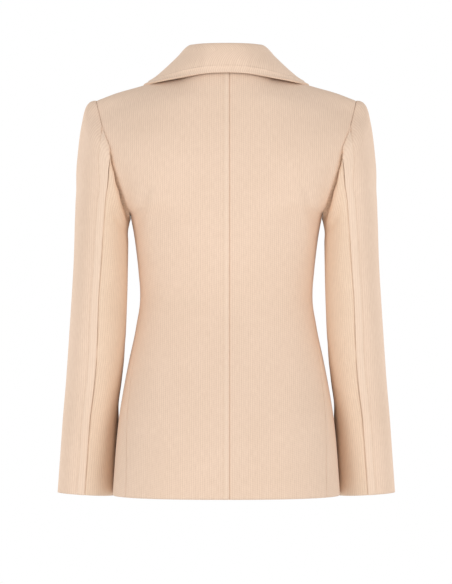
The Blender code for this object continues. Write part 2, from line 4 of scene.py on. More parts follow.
import bmesh
import bpy
import numpy as np
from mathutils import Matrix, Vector


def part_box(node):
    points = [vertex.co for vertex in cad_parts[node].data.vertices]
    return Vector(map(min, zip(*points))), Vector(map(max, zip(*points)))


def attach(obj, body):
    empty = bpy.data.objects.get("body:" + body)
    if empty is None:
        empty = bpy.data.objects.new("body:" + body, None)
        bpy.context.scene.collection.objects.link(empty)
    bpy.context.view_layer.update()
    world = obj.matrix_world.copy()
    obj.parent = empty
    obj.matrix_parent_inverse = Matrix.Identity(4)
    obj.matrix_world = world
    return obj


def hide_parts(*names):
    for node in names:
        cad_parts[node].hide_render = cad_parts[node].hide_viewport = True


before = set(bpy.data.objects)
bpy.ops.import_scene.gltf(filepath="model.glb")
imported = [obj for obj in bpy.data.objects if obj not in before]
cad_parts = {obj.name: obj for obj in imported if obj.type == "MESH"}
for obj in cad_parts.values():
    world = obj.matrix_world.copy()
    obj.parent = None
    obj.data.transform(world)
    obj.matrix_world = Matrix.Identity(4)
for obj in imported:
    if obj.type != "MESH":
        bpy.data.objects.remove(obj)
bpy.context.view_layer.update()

milli = 0.001  # the tables below are in millimetres

# The camera stands 5 m behind the back, level with the middle of the picture.
view = {"distance": 5.0, "height": -0.3296, "lens": 200.2, "aside": 0.0005}
cloth = {"thickness": 1.7, "raised": 0.8, "step": 0.9, "groove": 0.55, "grooveWidth": 0.9, "seamDip": 0.85,
         "seamReach": 1.6, "roundDip": 0.3, "roundReach": 5.0}
seams = {"centreX": 4.2, "centreStrip": 8.4, "sleeveStrip": 12.0, "edgeStitch": 8.5, "collarStitch": 9.8,
         "gap": 0.3, "tuck": 0.8}
closing = {"lap": 22.0, "breakZ": -300.0, "rollSlope": 0.2516, "lift": 2.5, "sink": 7.0}

# the coat's sections, as in the solids
Ring = namedtuple("Ring", "z halfWidth back front widest backSquare frontSquare seam bust")
rings = [
    Ring(-641.5, 174.3, 128, -127, 2, 2.30, 2.25, 58, 0),
    Ring(-600.0, 172.0, 126, -126, 1, 2.30, 2.25, 59, 0),
    Ring(-560.0, 169.0, 121, -124, 0, 2.30, 2.25, 61, 0),
    Ring(-520.0, 164.8, 113, -121, -2, 2.28, 2.25, 64, 0),
    Ring(-480.0, 158.4, 102, -116, -4, 2.25, 2.25, 67, 0),
    Ring(-434.0, 149.6, 89, -110, -6, 2.25, 2.25, 71, 0),
    Ring(-388.0, 139.8, 79, -104, -9, 2.25, 2.25, 77, 0),
    Ring(-342.0, 133.0, 75, -102, -11, 2.25, 2.30, 83, 0),
    Ring(-300.0, 135.4, 80, -112, -10, 2.30, 2.40, 87, 5),
    Ring(-260.0, 139.8, 90, -130, -8, 2.35, 2.55, 90, 13),
    Ring(-218.0, 146.6, 99, -136, -6, 2.40, 2.60, 93, 11),
]
bust = {"x": 86.0, "spread": 34.0}

Armhole = namedtuple("Armhole", "angle x y z")
armhole = [
    Armhole(0, 200.0, 1, -35.0),
    Armhole(24, 193.5, 26, -61.0),
    Armhole(52, 186.5, 45, -86.0),
    Armhole(97, 177.5, 57, -108.0),
    Armhole(117, 168.5, 61, -136.0),
    Armhole(137, 159.5, 55, -167.0),
    Armhole(158, 150.5, 36, -200.0),
    Armhole(180, 146.6, -6, -218.0),
    Armhole(202, 150.0, -40, -204.0),
    Armhole(222, 156.0, -57, -178.0),
    Armhole(243, 162.0, -63, -146.0),
    Armhole(270, 172.0, -55, -104.0),
    Armhole(315, 187.0, -32, -62.0),
]

YokeRow = namedtuple("YokeRow", "angle back z reach edgeX edgeY edgeZ")
yoke = [
    YokeRow(158, 100.5, -190, 95, -10, 47, 2),
    YokeRow(137, 100.5, -158, 92, -26, 39, 4),
    YokeRow(117, 97.5, -123, 86, -35, 34, 8),
    YokeRow(97, 92.0, -90, 80, -44, 27, 14),
    YokeRow(52, 84.5, -58, 72, -50, 22, 18),
    YokeRow(24, 75.0, -24, 60, -56, 18, 20),
]
neck = {"share": 0.40, "backY": 60.0, "backZ": 18.0}

ChestRow = namedtuple("ChestRow", "angle x y z rollX rollY rollZ edgeX edgeY edgeZ")
chest = [
    ChestRow(202, 6.0, -131, -190, 60, -22, -4, 6, -70, -2),
    ChestRow(222, 15.5, -121, -151, 56, -18, -4, -4, -52, 2),
    ChestRow(243, 26.0, -108, -109, 50, -12, -6, -22, -38, 6),
    ChestRow(270, 36.0, -90, -69, 44, -2, -8, -38, -26, 14),
    ChestRow(315, 49.0, -60, -31, 40, 8, -6, -46, -14, 18),
]

shoulder = [(71.0, 0, 7.0), (100.0, 0, -3.2), (136.0, 0, -13.9), (169.0, 0.5, -23.2), (200.0, 1, -35.0)]

Tube = namedtuple("Tube", "z x halfWidth y halfDepth square")
tubes = [
    Tube(-234.0, 192.4, 41.9, 2, 60, 2.2),
    Tube(-280.0, 193.4, 42.2, 2, 57, 2.2),
    Tube(-342.0, 196.0, 43.2, 0, 54, 2.2),
    Tube(-403.0, 199.4, 44.0, -4, 52, 2.2),
    Tube(-465.0, 204.6, 43.4, -11, 49, 2.2),
    Tube(-527.0, 212.0, 41.6, -19, 46, 2.2),
    Tube(-585.0, 216.6, 41.4, -27, 44, 2.2),
    Tube(-641.8, 221.0, 41.4, -35, 43, 2.2),
]
sleeve = {"crownReach": 17.5, "backReach": 8.0, "underReach": 3.0, "crownDrop": 27.0, "headShare": 0.36,
          "backSeam": 97.0, "frontSeam": -105.0, "cuffTilt": 3.3}

CollarRow = namedtuple("CollarRow", "share foldX foldY foldZ edgeX edgeY edgeZ roll swell")
collarRows = [
    CollarRow(0.00, 0, 61.5, 48.0, 0, 75, 3.8, 4.5, 2),
    CollarRow(0.18, 29, 55.0, 48.0, 44, 69, 2.0, 4.5, 2),
    CollarRow(0.36, 51, 34.0, 48.0, 85, 48, -3.0, 4.5, 2),
    CollarRow(0.54, 60, 4.0, 47.0, 117, 17, -8.0, 4.5, 1),
    CollarRow(0.68, 60, -21.0, 36.0, 128, -14, -9.5, 4.5, 0),
    CollarRow(0.84, 54, -51.0, 5.0, 134, -49, -41.0, 4.0, 3),
    CollarRow(1.00, 42.9, -80.6, -45.7, 138.5, -75.2, -88.5, 3.5, 10),
]
collar = {"baseTurn": 1.8, "sideShare": 0.56, "gorgeV": 14.5, "notchStart": 0.42, "notchRetreat": 0.16,
          "standShare": 0.33, "solidWall": 2.0}
lapel = {"width": 0.72, "pointV": 13.95, "breakV": 8.06, "belly": 0.05, "end": 0.05, "rise": 4.2, "rest": 2.2}


def vec(*values):  # a point, or an array of points, has x, y, z last
    return np.array(values, float)


def unit(a):
    return a / np.maximum(np.linalg.norm(a, axis=-1, keepdims=True), 1e-9)


def hermite(a, b, slopeA, slopeB, t):
    t2, t3 = t * t, t * t * t
    return a * (2 * t3 - 3 * t2 + 1) + slopeA * (t3 - 2 * t2 + t) + b * (3 * t2 - 2 * t3) + slopeB * (t3 - t2)


def spline(keys, place, start=None, end=None):  # keys (k, ..., 3), one place on the curve of keys
    last = len(keys) - 1
    i = min(max(int(place), 0), last - 1)
    chord = np.linalg.norm(keys[i + 1] - keys[i], axis=-1, keepdims=True)

    def slope(k):
        if k == 0:
            return unit(keys[1] - keys[0]) if start is None else start
        if k == last:
            return unit(keys[last] - keys[last - 1]) if end is None else end
        before, after = keys[k] - keys[k - 1], keys[k + 1] - keys[k]
        a = np.maximum(np.linalg.norm(before, axis=-1, keepdims=True), 1e-6)
        b = np.maximum(np.linalg.norm(after, axis=-1, keepdims=True), 1e-6)
        return (before * (b / a) + after * (a / b)) / (a + b)

    return hermite(keys[i], keys[i + 1], slope(i) * chord, slope(i + 1) * chord, place - i)


def bezier(a, b, c, d, t):
    s = 1 - t
    return a * s ** 3 + b * 3 * s * s * t + c * 3 * s * t * t + d * t ** 3


def ease(low, high, value):
    t = np.clip((value - low) / (high - low), 0, 1)
    return t * t * (3 - 2 * t)


def hump(value, middle, width):  # soft ridge of height 1
    return np.exp(-((value - middle) / width) ** 2)


def ringPoint(ring, angle):
    across, along = math.sin(math.radians(angle)), math.cos(math.radians(angle))
    power = ring.backSquare if along > 0 else ring.frontSquare
    depth = (ring.back - ring.widest) if along > 0 else (ring.widest - ring.front)
    size = (abs(across) ** power + abs(along) ** power) ** (-1 / power)
    x = ring.halfWidth * size * across
    y = ring.widest + depth * size * along
    if along < 0:
        y -= ring.bust * math.exp(-((abs(x) - bust["x"]) / bust["spread"]) ** 2)
    return vec(x, y, ring.z)


def frontEndAngle(ring):
    x = -closing["lap"] + max(ring.z - closing["breakZ"], 0) * closing["rollSlope"]
    return 180 + math.degrees(math.atan2(-x / ring.halfWidth, 1))


armholeKeys = np.array([row[1:] for row in armhole + armhole[:1]], float)
armholeAngles = [row.angle for row in armhole] + [360]


def armholePoint(angle):
    place = np.interp(angle, armholeAngles, range(len(armholeAngles)))
    return spline(armholeKeys, place, start=vec(0, 1, -0.15), end=vec(0, 1, -0.15))


def shoulderPoint(share):
    return spline(np.array(shoulder, float), share * (len(shoulder) - 1))


def backNeckPoint(share):
    turn = share * math.pi / 2
    sideX, _, sideZ = shoulder[0]
    rise = (neck["backZ"] - sideZ) * math.cos(turn) ** 2
    return vec(sideX * math.sin(turn), neck["backY"] * math.cos(turn), sideZ + rise)


def backRow(index, u):
    if u < 0:
        return backRow(index, -u) * vec(-1, 1, 1)
    if index < len(rings):
        return ringPoint(rings[index], rings[index].seam * u)
    if index < len(rings) + len(yoke):
        row = yoke[index - len(rings)]
        start, end = vec(0, row.back, row.z), armholePoint(row.angle)
        return bezier(start, start + vec(row.reach, 2, 0), end + vec(*row[4:]), end, u)
    if u < neck["share"]:
        return backNeckPoint(u / neck["share"])
    return shoulderPoint((u - neck["share"]) / (1 - neck["share"]))


def frontRow(index, u):
    if index < len(rings):
        ring = rings[index]
        return ringPoint(ring, ring.seam + (frontEndAngle(ring) - ring.seam) * u)
    if index < len(rings) + len(chest):
        row = chest[index - len(rings)]
        start, end = armholePoint(row.angle), vec(row.x, row.y, row.z)
        return bezier(start, start + vec(*row[7:]), end + vec(*row[4:7]), end, u)
    return shoulderPoint(1 - u)


backRows = len(rings) + len(yoke) + 1
frontRows = len(rings) + len(chest) + 1


def backSurface(us, vs):  # rows from hem to neck, columns from centre to side
    keys = np.array([[backRow(k, u) for u in us] for k in range(backRows)])
    side = np.clip(np.abs(us) / neck["share"], 0, 1)[:, None]
    over = np.concatenate([0 * side, -0.35 - 0.65 * side, 0.94 * (1 - side)], axis=1)
    return np.array([spline(keys, v, start=vec(0, 0, 1), end=unit(over)) for v in vs])


def frontSurface(us, vs):  # columns from the side to the front edge
    keys = np.array([[frontRow(k, u) for u in us] for k in range(frontRows)])
    return np.array([spline(keys, v, start=vec(0, 0, 1), end=vec(0, 1, 0)) for v in vs])


def tubePoint(row, angle):
    out, back = math.cos(math.radians(angle)), math.sin(math.radians(angle))
    size = (abs(out) ** row.square + abs(back) ** row.square) ** (-1 / row.square)
    tilt = math.tan(math.radians(sleeve["cuffTilt"])) * ease(-465, -640, row.z)
    x = row.halfWidth * size * out
    return vec(row.x + x, row.y + row.halfDepth * size * back, row.z + x * tilt)


def capPoint(angle, t):
    seam, foot = armholePoint(angle % 360), tubePoint(tubes[0], angle)
    turn = math.radians(angle)
    high = (1 + math.cos(turn)) / 2
    reach = sleeve["underReach"] + (sleeve["backReach"] - sleeve["underReach"]) * min(high * 2, 1)
    reach += (sleeve["crownReach"] - sleeve["backReach"]) * max(high * 2 - 1, 0)
    out = vec(0.35 + 0.65 * high, 0.75 * math.sin(turn) * (1 - high * 0.4), 0.05 * high - 0.35 * (1 - high))
    corner = seam + unit(out) * reach
    down = foot - corner - vec(0, 0, 40 * high)
    knee = corner + unit(down) * min(sleeve["crownDrop"], np.linalg.norm(foot - corner) * 0.4)
    head = sleeve["headShare"]
    if t < head:
        s = t / head
        return seam * (1 - s) ** 2 + corner * 2 * s * (1 - s) + knee * s * s
    length = np.linalg.norm(foot - knee) / 3
    s = (t - head) / (1 - head)
    return bezier(knee, knee + unit(down) * length, foot + vec(-0.02, 0, 1) * length, foot, s)


def sleeveSurface(angles, vs):  # v 0 at the armhole, 1 at the first ring, then the rings
    keys = np.array([[tubePoint(row, a) for a in angles] for row in tubes])
    rows = []
    for v in vs:
        if v < 1:
            rows.append(np.array([capPoint(a, v) for a in angles]))
        else:
            rows.append(spline(keys, v - 1, start=vec(0.02, 0, -1)))
    return np.array(rows)


def normals(grid, outward):  # outward is 1 or -1
    across = np.gradient(grid, axis=1)
    along = np.gradient(grid, axis=0)
    return unit(np.cross(across, along)) * outward


def widthAlong(grid):  # distance along each row from its first point
    step = np.linalg.norm(np.diff(grid, axis=1), axis=-1)
    return np.concatenate([np.zeros((len(grid), 1)), np.cumsum(step, axis=1)], axis=1)


def lengthAlong(grid):
    step = np.linalg.norm(np.diff(grid, axis=0), axis=-1)
    return np.concatenate([np.zeros((1, grid.shape[1])), np.cumsum(step, axis=0)], axis=0)


nearSeam = [0, 0.4, 0.8, 1.3, 1.9, 2.7, 3.8, 5.2]  # distances from a seam that get a column


def respace(grid, firsts, count):  # set distances first, then even ones, then up to a seam
    made = []
    for row, reach, first in zip(grid, widthAlong(grid), firsts):
        ending = reach[-1] - np.array(nearSeam[::-1])
        even = np.linspace(first[-1], ending[0], count - len(first) - len(ending) + 2)[1:-1]
        at = np.concatenate([first, even, ending])
        made.append(np.stack([np.interp(at, reach, row[:, k]) for k in range(3)], axis=1))
    return np.array(made)


def stripColumns(width):
    beside = [width + d for d in (-0.9, -0.4, 0, 0.4, 0.9, 2)]
    return nearSeam[:6] + list(np.linspace(4.2, width - 1.6, 4)) + beside


def seamProfile(gone):  # the cloth rounds over and then drops into a sewn seam
    crisp = np.exp(-(gone / cloth["seamReach"]) ** 2)
    return cloth["seamDip"] * crisp + cloth["roundDip"] * np.exp(-(gone / cloth["roundReach"]) ** 2)


def edgeDip(grid, sewnEnd, first=True, last=True):  # the last row is sewn, or for -1 the first one
    across, along = widthAlong(grid), lengthAlong(grid)
    dip = seamProfile(along[-1:] - along if sewnEnd > 0 else along)
    if first:
        dip = np.maximum(dip, seamProfile(across))
    if last:
        dip = np.maximum(dip, seamProfile(across[:, -1:] - across))
    return -dip


# the mask it returns also places a painted sheen: a paler base colour on the pressed strip, standing in for
# its shine
def pressedStrip(across, width, wave=0):  # an allowance pressed beside a seam, and its stitched edge
    pressed = 1 - ease(width - 0.2, width + cloth["step"], across)
    height = (cloth["raised"] + wave) * pressed * (0.6 + 0.4 * ease(0, 1, across))
    return pressed, height - cloth["groove"] * hump(across, width - 0.4, cloth["grooveWidth"])


def mirrorX(grid):
    return grid * vec(-1, 1, 1)


def clothPiece(name, grid, side, turned=False, thickness=None, uvTurn=False, middle=False, edgeRound=None,
               pressed=None, grainMiddle=False):
    # a grid laid in the points' shape; side -1 mirrors it, turned puts the outside on the other side
    rows, columns = grid.shape[:2]
    mesh = bmesh.new()
    bmesh.ops.create_grid(mesh, x_segments=columns - 1, y_segments=rows - 1, size=1)
    mesh.verts.ensure_lookup_table()
    flat = (grid * vec(side, 1, 1)).reshape(-1, 3) * milli
    for vert, place in zip(mesh.verts, flat):
        vert.co = place
    layer = mesh.loops.layers.uv.new("weave")
    level = grid * vec(1, 1, 0.25)
    across = widthAlong(level)
    grain = columns // 2 if grainMiddle else 0
    across = (across - across[:, grain:grain + 1]).reshape(-1) * milli
    along = lengthAlong(grid).reshape(-1) * milli
    alongMiddle = along[len(along) // 2]
    for face in mesh.faces:
        for loop in face.loops:
            i = loop.vert.index
            loop[layer].uv = (along[i] - alongMiddle, across[i]) if uvTurn else (across[i], along[i])
    if (side < 0) != turned:
        bmesh.ops.reverse_faces(mesh, faces=mesh.faces[:])
    piece = finishPiece(name, mesh, woolFor(name))
    # painted sheen: this per-point mask pales the base colour on the pressed strips, in place of their shine
    paintedSheenLayer = piece.data.attributes.new("pressed", "FLOAT", "POINT")
    paintedSheenLayer.data.foreach_set("value", np.zeros(rows * columns) if pressed is None else pressed.reshape(-1))
    wall = piece.modifiers.new("thickness", "SOLIDIFY")
    wall.thickness = (thickness or cloth["thickness"]) * milli
    wall.offset = 0 if middle else -1
    if edgeRound:
        rim = piece.modifiers.new("soft edge", "BEVEL")
        rim.width, rim.segments = edgeRound * milli, 3
        rim.limit_method, rim.angle_limit = "ANGLE", math.radians(50)
    return piece


def finishPiece(name, mesh, material, sharp=50):
    data = bpy.data.meshes.new(name)
    mesh.to_mesh(data)
    mesh.free()
    data.shade_smooth()
    data.set_sharp_from_angle(angle=math.radians(sharp))
    data.materials.append(material)
    piece = bpy.data.objects.new(name, data)
    bpy.context.scene.collection.objects.link(piece)
    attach(piece, "root")
    return piece


class Maths:
    def __init__(self, tree, socket):
        self.tree, self.socket = tree, socket

    def run(self, operation, *values):
        node = self.tree.nodes.new("ShaderNodeMath")
        node.operation = operation
        for slot, value in zip(node.inputs, values):
            if isinstance(value, Maths):
                self.tree.links.new(value.socket, slot)
            else:
                slot.default_value = value
        return Maths(self.tree, node.outputs[0])

    def __add__(self, other): return self.run("ADD", self, other)
    def __radd__(self, other): return self.run("ADD", other, self)
    def __sub__(self, other): return self.run("SUBTRACT", self, other)
    def __rsub__(self, other): return self.run("SUBTRACT", other, self)
    def __mul__(self, other): return self.run("MULTIPLY", self, other)
    def __rmul__(self, other): return self.run("MULTIPLY", other, self)

    def sine(self):  # between 0 and 1
        return (self.run("SINE", self) + 1) * 0.5


class Shader:
    def __init__(self, name):
        self.material = bpy.data.materials.new(name)
        self.material.use_nodes = True
        self.tree = self.material.node_tree
        self.surface = self.tree.nodes["Principled BSDF"]

    def node(self, kind, settings=None, inputs=None):
        made = self.tree.nodes.new("ShaderNode" + kind)
        for key, value in (settings or {}).items():
            if key == "stops":
                ramp = made.color_ramp.elements
                while len(ramp) < len(value):
                    ramp.new(1.0)
                for element, (place, colour) in zip(ramp, value):
                    element.position, element.color = place, colour
            else:
                setattr(made, key, value)
        self.feed(made, inputs or {})
        return made

    def feed(self, node, inputs):
        for key, value in inputs.items():
            slot = node.inputs[key]
            if isinstance(value, Maths):
                value = value.socket
            if isinstance(value, bpy.types.NodeSocket):
                self.tree.links.new(value, slot)
            else:
                slot.default_value = value

    def maths(self, socket):
        return Maths(self.tree, socket)


def woolMaterial(name, settings):
    s = Shader(name)
    uv = s.node("UVMap", {"uv_map": "weave"})
    split = s.node("SeparateXYZ", inputs={"Vector": uv.outputs[0]})
    x, y = s.maths(split.outputs["X"]), s.maths(split.outputs["Y"])
    spot = s.node("TexCoord")
    # slow shade changes, in the cloth's dye
    slow = s.node("TexNoise", inputs={"Vector": spot.outputs["Object"], "Scale": 9.0, "Detail": 2.0})
    # slubs: noise stretched along the ribs
    stretch = s.node("Mapping", inputs={"Vector": uv.outputs[0], "Scale": (1, settings["slubStretch"], 1)})
    slub = s.node("TexNoise", inputs={"Vector": stretch.outputs[0], "Scale": settings["slubScale"],
                                      "Detail": 3.0})
    fine = s.node("TexNoise", inputs={"Vector": uv.outputs[0], "Scale": settings["fuzzScale"], "Detail": 2.0})
    slubs, fuzz = s.maths(slub.outputs["Fac"]), s.maths(fine.outputs["Fac"])
    # ribs run along the cloth and a twill crosses them
    wander = (slubs - 0.5) * settings["wander"]
    rib = (x * (math.tau / settings["ribPitch"]) + wander).sine()
    twill = ((x * settings["twillLean"] + y) * (math.tau / settings["twillPitch"])).sine()
    weave = rib * settings["ribShare"] + twill * (1 - settings["ribShare"])
    shade = weave * 0.36 + slubs * 0.42 + fuzz * 0.22
    tone = s.node("ValToRGB", {"stops": [(0.2, (*settings["dark"], 1)), (0.5, (*settings["middle"], 1)),
                                         (0.8, (*settings["light"], 1))]}, {"Fac": shade})
    # painted sheen: the pressed strips' colour is mixed towards a paler one, standing in for their shine
    pressed = s.node("Attribute", {"attribute_name": "pressed"})
    paler = s.node("Mix", {"data_type": "RGBA"})
    s.feed(paler, {0: s.maths(pressed.outputs["Fac"]) * settings["paintedSheenShare"], 6: tone.outputs[0],
                   7: (*settings["pressed"], 1)})
    mixed = s.node("Mix", {"data_type": "RGBA", "blend_type": "MULTIPLY"})
    lightness = s.node("ValToRGB", {"stops": [(0.3, (0.965, 0.96, 0.95, 1)), (0.7, (1, 1, 1, 1))]},
                       {"Fac": slow.outputs["Fac"]})
    s.feed(mixed, {0: 1.0, 6: paler.outputs[2], 7: lightness.outputs[0]})
    height = weave * 0.7 + slubs * 0.2 + fuzz * 0.25
    bump = s.node("Bump", inputs={"Strength": settings["bump"], "Distance": settings["depth"],
                                  "Height": height})
    s.feed(s.surface, {"Base Color": mixed.outputs[2], "Roughness": fuzz * 0.1 + 0.86,
                       "Normal": bump.outputs[0], "Sheen Weight": settings["sheen"], "Sheen Roughness": 0.5,
                       "Sheen Tint": (1.0, 0.93, 0.86, 1), "Specular IOR Level": 0.2})
    return s.material


# the paler strip colour and its share are a painted sheen on the pressed strips
wool = {"dark": (0.715, 0.528, 0.40), "middle": (0.80, 0.603, 0.467), "light": (0.885, 0.69, 0.54),
        "pressed": (0.95, 0.79, 0.64), "paintedSheenShare": 0.15,
        "ribPitch": 0.0034, "twillPitch": 0.0033, "twillLean": 0.3, "ribShare": 0.68, "wander": 2.6,
        "slubScale": 420.0, "slubStretch": 0.22, "fuzzScale": 1500.0,
        "bump": 0.22, "depth": 0.0005, "sheen": 0.1}
# painted light: the under sleeves' cloth is tinted warmer, standing in for the warm light the pieces around
# them throw on it
warmShadeWool = dict(wool, dark=(0.712, 0.524, 0.384), middle=(0.797, 0.599, 0.448), light=(0.88, 0.684, 0.518))
straightWool = dict(wool, ribShare=0.92, wander=1.6)  # the collar shows its ribs upright
looks = {"sleeve_under": warmShadeWool, "collar": straightWool, "": wool}
woolMade = {}


def woolFor(name):
    look = next(start for start in looks if name.startswith(start))
    if look not in woolMade:
        woolMade[look] = woolMaterial((look or "ribbed") + " wool", looks[look])
    return woolMade[look]


def startAt(grid, xs, half=None, way=1):  # trims each row to start where its first half crosses x
    made = []
    for row, x in zip(grid, xs + np.zeros(len(grid))):
        reach = widthAlong(row[None])[0]
        start = np.interp(x * way, row[:half, 0] * way, reach[:half])
        at = np.linspace(start, reach[-1], grid.shape[1])
        made.append(np.stack([np.interp(at, reach, row[:, k]) for k in range(3)], axis=1))
    return np.array(made)


Fold = namedtuple("Fold", "x z turn length width height bend")


def foldHeight(grid, folds):  # soft troughs and ridges seen from behind or in front
    x, z = grid[..., 0], grid[..., 2]
    height = np.zeros(x.shape)
    for fold in folds:
        turn = math.radians(fold.turn)
        along = (x - fold.x) * math.cos(turn) + (z - fold.z) * math.sin(turn)
        across = (z - fold.z) * math.cos(turn) - (x - fold.x) * math.sin(turn)
        across = across - fold.bend * along * along / fold.length
        height += fold.height * hump(across, 0, fold.width) * hump(along, 0, fold.length)
    return height


print("backs")
backDetail = {"rows": 160, "columns": 110, "dense": 170, "start": -0.06}
armholeRidge = {"rise": 1.6, "overhang": 2.6, "top": (-104, -150), "low": (-222, -188)}
backFolds = [
    # the cloth draws in towards the armhole, with a ridge beside it
    Fold(124, -190, 112, 46, 9.0, -2.6, 0.10),
    Fold(112, -172, 104, 52, 11.0, 2.2, 0.06),
    Fold(96, -226, 62, 44, 13.0, -1.0, 0.0),
    Fold(118, -262, 78, 60, 12.0, 0.9, 0.0),
    Fold(70, -335, 8, 55, 12.0, -0.9, 0.0),
    Fold(88, -356, 172, 48, 11.0, 0.7, 0.0),
    Fold(40, -318, 174, 36, 9.0, 0.5, 0.0),
    Fold(108, -470, 84, 90, 16.0, 0.8, 0.0),
    Fold(60, -545, 92, 80, 22.0, -0.8, 0.0),
    Fold(96, -590, 96, 50, 14.0, 0.7, 0.0),
]
backDense = backSurface(np.linspace(backDetail["start"], 1, backDetail["dense"]),
                        np.linspace(0, backRows - 1, backDetail["rows"]))


def makeBack(side):
    # the right back's edge reaches just under the left one's
    edge = -seams["centreX"] + seams["gap"] / 2 if side > 0 else seams["centreX"] - seams["tuck"]
    grid = startAt(backDense, edge)
    strip = seams["centreStrip"]
    grid = respace(grid, [stripColumns(strip)] * len(grid), backDetail["columns"])
    across = widthAlong(grid)
    toEdge = across[:, -1:] - across
    # beside the lower armhole the panel's edge swells over the sleeve
    z = grid[..., 2]
    over = ease(*armholeRidge["top"], z) * ease(*armholeRidge["low"], z)
    weight = np.where(toEdge < 9, (0.5 + 0.7 * ease(-200, -240, z)) * (1 - 0.7 * over), 1)
    height = edgeDip(grid, 1, first=side < 0) * weight + foldHeight(grid, backFolds)
    height += armholeRidge["rise"] * over * hump(toEdge, 2.5, 7)
    # the strip's mask also paints a paler sheen into the colour
    pressed = np.zeros(across.shape)
    if side > 0:
        pressed, raised = pressedStrip(across, strip)
        height += raised
    aside = unit(np.gradient(grid, axis=1))
    grid = grid + normals(grid, -1) * height[..., None]
    grid = grid + aside * (armholeRidge["overhang"] * over * np.exp(-toEdge / 4))[..., None]
    name = "back_left" if side > 0 else "back_right"
    piece = clothPiece(name + "_cloth", grid, side, turned=True, pressed=pressed)
    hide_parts(name)
    return piece, grid


backs = {side: makeBack(side) for side in (1, -1)}


print("fronts")
frontDetail = {"rows": 150, "columns": 120}
frontFolds = [
    Fold(92, -232, 60, 50, 16.0, -1.2, 0.0),
    Fold(60, -338, 12, 60, 11.0, -1.1, 0.05),
    Fold(84, -362, 168, 50, 12.0, 0.9, 0.0),
    Fold(120, -250, 75, 60, 12.0, 1.0, 0.0),
    Fold(96, -470, 86, 90, 16.0, 0.9, 0.0),
    Fold(40, -560, 92, 80, 20.0, -0.8, 0.0),
]
frontUs = np.linspace(0, 1, frontDetail["columns"])  # finer beside the side seam
frontUs = frontUs * (0.3 + 0.7 * frontUs ** 0.6)
frontVs = np.linspace(0, frontRows - 1, frontDetail["rows"])
frontDense = frontSurface(frontUs, frontVs)
frontNormals = normals(frontDense, -1)


def lapShift(points, side):  # the right front lies over the left one
    own, z = points[..., 0], points[..., 2]
    below = ease(-150, -205, z)
    if side < 0:
        return closing["lift"] * below * ease(90, 26, own)
    return -closing["sink"] * below * ease(-365, -312, z) * ease(74, 24, own)


def lookUp(values, us, vs):  # values over the front's grid at places u, v
    j = np.clip(np.interp(us, frontUs, range(len(frontUs))), 0, len(frontUs) - 1.001)
    i = np.clip(np.asarray(vs) / frontVs[-1] * (len(frontVs) - 1), 0, len(frontVs) - 1.001)
    a, b = i.astype(int), j.astype(int)
    s, t = (i - a)[..., None], (j - b)[..., None]
    low = values[a, b] * (1 - t) + values[a, b + 1] * t
    return low * (1 - s) + (values[a + 1, b] * (1 - t) + values[a + 1, b + 1] * t) * s


def onFront(us, vs, side, height):
    point, normal = lookUp(frontDense, us, vs), unit(lookUp(frontNormals, us, vs))
    return point + normal * (lapShift(point, side) + height)[..., None], normal


def makeFront(side):
    grid = frontDense
    height = edgeDip(grid, 1, last=False) + foldHeight(grid, frontFolds) + lapShift(grid, side)
    grid = grid + frontNormals * height[..., None]
    name = "front_left" if side > 0 else "front_right"
    piece = clothPiece(name + "_cloth", grid, side, turned=True)
    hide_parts(name)
    return piece, grid


fronts = {side: makeFront(side) for side in (1, -1)}


print("sleeves")
sleeveDetail = {"rows": 210, "headRows": 26, "capRows": 39, "topColumns": 112, "underColumns": 96,
                "dense": 120, "spare": 16}
sleeveForm = {"upper": 3.7, "slim": -0.9, "touch": 7.0}
dimple = {"depth": 11.5, "peak": 4.6, "least": 0.15, "most": 1.6}
dimples = [(-122, 9, 0.9), (-146, 14, 1.6), (-177, 13, 1.2), (-201, 10, 0.6)]  # height, spread, share
stripTop = {"x": 189.8, "z": -72.0, "slope": -0.0595}
# depth below the collar line, shift
seamLean = [(106, 0), (114, -4.6), (125, -4.8), (162, -3.8), (191, -1.4), (221, -0.6), (280, 2.3), (339, 4.1),
            (385, 3.7), (440, 2.2), (640, 2.2)]
topFolds = [
    Fold(214, -150, 84, 60, 10.0, 0.9, 0.0),
    Fold(204, -300, 80, 70, 12.0, -0.9, 0.0),
    Fold(220, -370, 96, 70, 12.0, 0.8, 0.0),
    Fold(206, -420, 20, 26, 10.0, -0.9, 0.0),
    Fold(212, -500, 100, 60, 12.0, 0.8, 0.0),
    Fold(228, -590, 88, 50, 12.0, -0.7, 0.0),
]
underFolds = [
    # the fold that leaves the armhole's lower end
    Fold(164, -222, 62, 26, 6.0, -2.6, 0.10),
    Fold(172, -206, 66, 34, 7.5, 1.6, 0.08),
    Fold(176, -262, 76, 60, 10.0, 1.0, 0.0),
    Fold(168, -330, 96, 60, 9.0, -0.9, 0.0),
    Fold(180, -400, 24, 24, 9.0, -1.0, 0.0),
    Fold(182, -430, 20, 24, 9.0, 0.8, 0.0),
    Fold(188, -520, 94, 60, 10.0, 0.9, 0.0),
]
tubeRows = sleeveDetail["rows"] - sleeveDetail["headRows"] - sleeveDetail["capRows"]
sleeveVs = np.concatenate([sleeve["headShare"] * np.linspace(0, 1, sleeveDetail["headRows"]) ** 1.5,
                           np.linspace(sleeve["headShare"], 1, sleeveDetail["capRows"] + 1)[1:],
                           np.linspace(1, len(tubes), tubeRows + 1)[1:]])
sleeveVs = np.minimum(sleeveVs, len(tubes) - 1e-6)


def backSeamLine():  # it leans a few millimetres off the solids' straight one
    line = sleeveSurface([sleeve["backSeam"]], sleeveVs)[:, 0]
    return line[:, 0] + np.interp(-line[:, 2], *np.transpose(seamLean))


